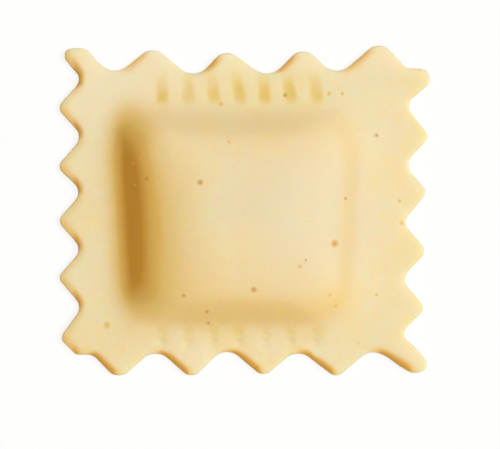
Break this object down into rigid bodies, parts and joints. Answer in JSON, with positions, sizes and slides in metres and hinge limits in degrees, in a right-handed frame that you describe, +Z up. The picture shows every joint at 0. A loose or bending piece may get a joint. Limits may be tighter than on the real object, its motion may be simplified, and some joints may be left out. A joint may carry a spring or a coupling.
{
  "type": "ravioli",
  "caption": "Square parcel of filled fresh egg pasta: a domed, filled middle in a flat pressed rim with a fluted cut edge.",
  "frame": {"origin": "centre of the bounding box, on the underside that the parcel lies on", "axes": "+Z up through the filled middle, +X along the longer side to the right, +Y to the back"},
  "size_m": [0.05, 0.0444, 0.008],
  "materials": {
    "dough": "matte, slightly translucent fresh egg dough"
  },
  "bodies": {
    "root": {"ravioli": "dough"}
  },
  "joints": []
}
